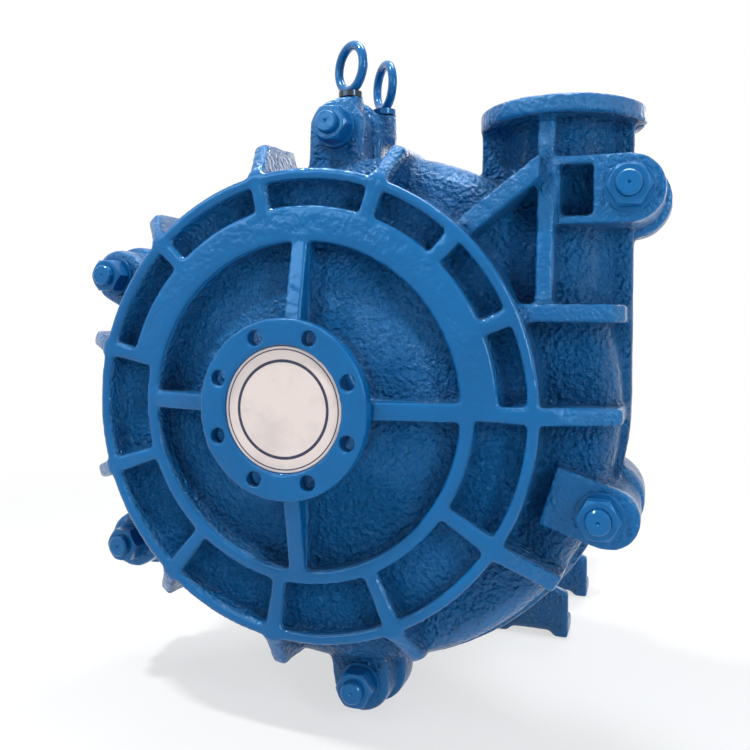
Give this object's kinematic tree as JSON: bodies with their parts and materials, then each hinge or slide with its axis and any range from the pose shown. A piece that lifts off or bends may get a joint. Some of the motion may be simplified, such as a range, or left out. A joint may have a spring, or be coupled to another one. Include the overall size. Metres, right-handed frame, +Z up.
{
  "type": "slurry pump",
  "caption": "Horizontal centrifugal slurry pump with a ribbed split casing, side discharge, lined volute, stuffing box and bearing housing on a cast base.",
  "frame": {"origin": "centre of the suction flange face, on the shaft axis", "axes": "+Y along the shaft from the suction to the drive end, +Z up, +X to the discharge side"},
  "size_m": [0.8555, 0.942, 0.9438],
  "materials": {
    "blue_enamel": "thick glossy blue enamel over rough castings",
    "painted_steel": "the same enamel over machined fasteners",
    "wear_iron": "bare white iron, as cast",
    "rubber": "matt moulded rubber",
    "packing": "greased square braid",
    "white_cover": "smooth white sheet with dark blue rings",
    "machined_steel": "turned and ground",
    "bronze": "turned"
  },
  "bodies": {
    "frame": {"cover_plate": "blue_enamel", "frame_plate": "blue_enamel", "volute_liner": "wear_iron", "throatbush": "wear_iron", "back_liner": "wear_iron", "intake_joint": "rubber", "discharge_joint": "rubber", "stuffing_box": "painted_steel", "lantern_ring": "bronze", "packing_rings": "packing", "gland_studs": "machined_steel", "base": "blue_enamel", "casing_studs": "painted_steel", "casing_nuts": "painted_steel", "casing_washers": "painted_steel", "base_studs": "painted_steel", "base_nuts": "painted_steel", "clamp_studs": "painted_steel", "clamp_washers": "painted_steel", "clamp_nuts": "painted_steel", "eyebolt_front": "painted_steel", "eyebolt_rear": "painted_steel"},
    "bearing_assembly": {"bearing_housing": "blue_enamel", "adjusting_screw": "painted_steel", "end_cover_front": "painted_steel", "end_cover_rear": "painted_steel", "end_cover_bolts": "painted_steel", "bearing_outer_front": "machined_steel", "bearing_outer_rear": "machined_steel"},
    "rotor": {"impeller": "wear_iron", "shaft": "machined_steel", "shaft_key": "machined_steel", "shaft_sleeve": "machined_steel", "release_collar": "machined_steel", "labyrinth_front": "machined_steel", "labyrinth_rear": "machined_steel", "bearing_inner_front": "machined_steel", "rollers_front": "machined_steel", "bearing_inner_rear": "machined_steel", "rollers_rear": "machined_steel"},
    "adjusting_nuts": {"adjusting_nuts": "painted_steel"},
    "gland": {"gland": "painted_steel", "gland_nuts": "machined_steel"},
    "suction_cover": {"suction_cover": "white_cover"}
  },
  "joints": [
    {"name": "bearing_slide", "type": "slide", "parent": "frame", "child": "bearing_assembly", "axis": [0, 1, 0], "range_m": [-0.003, 0.003]},
    {"name": "rotor_spin", "type": "hinge", "parent": "bearing_assembly", "child": "rotor", "pos_m": [0, 0.655, 0], "axis": [0, 1, 0], "continuous": true},
    {"name": "nut_turn", "type": "hinge", "parent": "frame", "child": "adjusting_nuts", "pos_m": [0, 0.765, -0.15], "axis": [0, 1, 0], "range_deg": [-433, 433]},
    {"name": "gland_slide", "type": "slide", "parent": "frame", "child": "gland", "axis": [0, 1, 0], "range_m": [0, 0.012]},
    {"name": "suction_cover_off", "type": "slide", "parent": "frame", "child": "suction_cover", "axis": [0, -1, 0], "range_m": [0, 0.2]}
  ],
  "couplings": [
    {"joint": "nut_turn", "follows": "bearing_slide", "rad_per_m": 2513.3}
  ]
}
